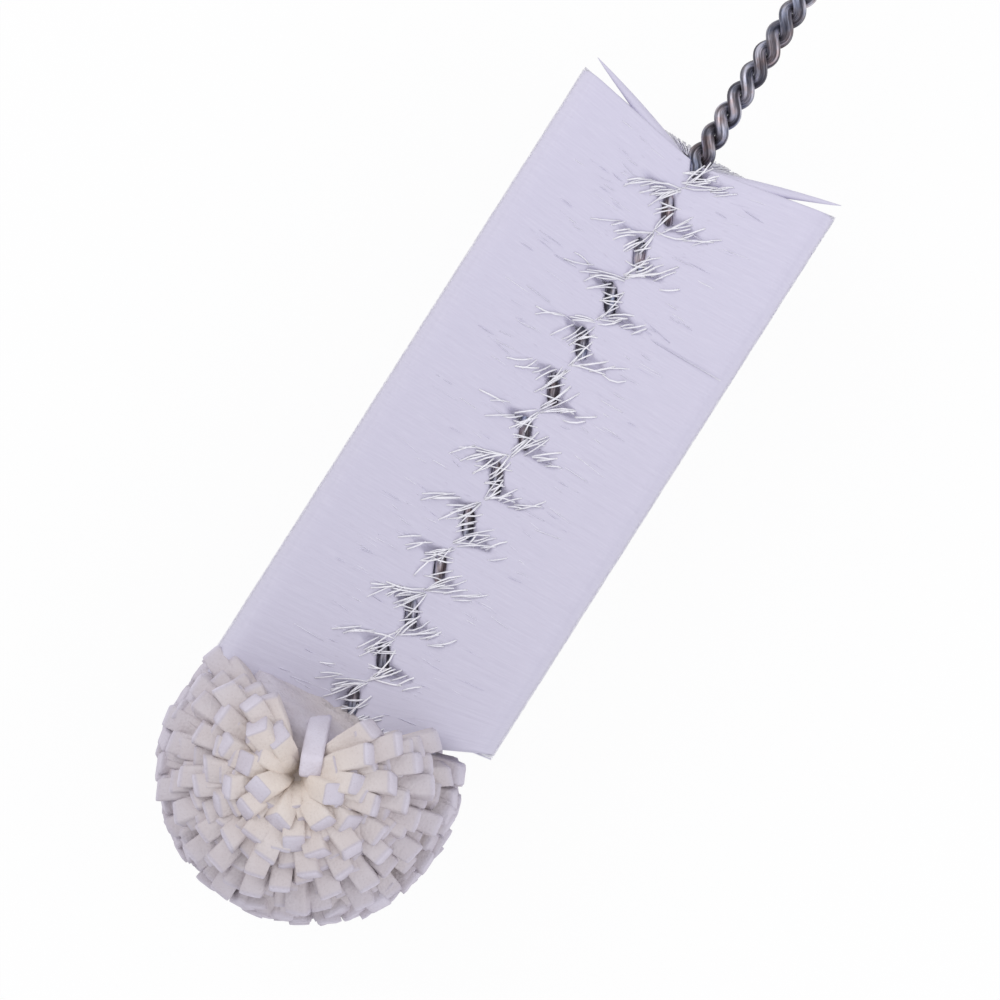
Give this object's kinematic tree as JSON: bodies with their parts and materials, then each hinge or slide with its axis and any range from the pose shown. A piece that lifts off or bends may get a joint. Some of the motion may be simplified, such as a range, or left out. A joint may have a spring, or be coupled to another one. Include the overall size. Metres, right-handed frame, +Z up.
{
  "type": "bottle brush",
  "caption": "Bottle brush with straight bristles in a spiral and a ball of foam strips at its tip, gripped in a twisted wire stem that ends in a hanging loop.",
  "frame": {"origin": "middle of the brush's length, on the plane on which it lies", "axes": "+X along the stem from the foam tip to the hanging loop, +Z up, loop level with the XY plane"},
  "size_m": [0.3626, 0.0628, 0.061],
  "materials": {
    "wire": "drawn, dull",
    "bristle": "satin",
    "foam": "matte, fine cells"
  },
  "bodies": {
    "root": {"twisted_wire": "wire", "bristles": "bristle", "foam_strips": "foam"}
  },
  "joints": []
}
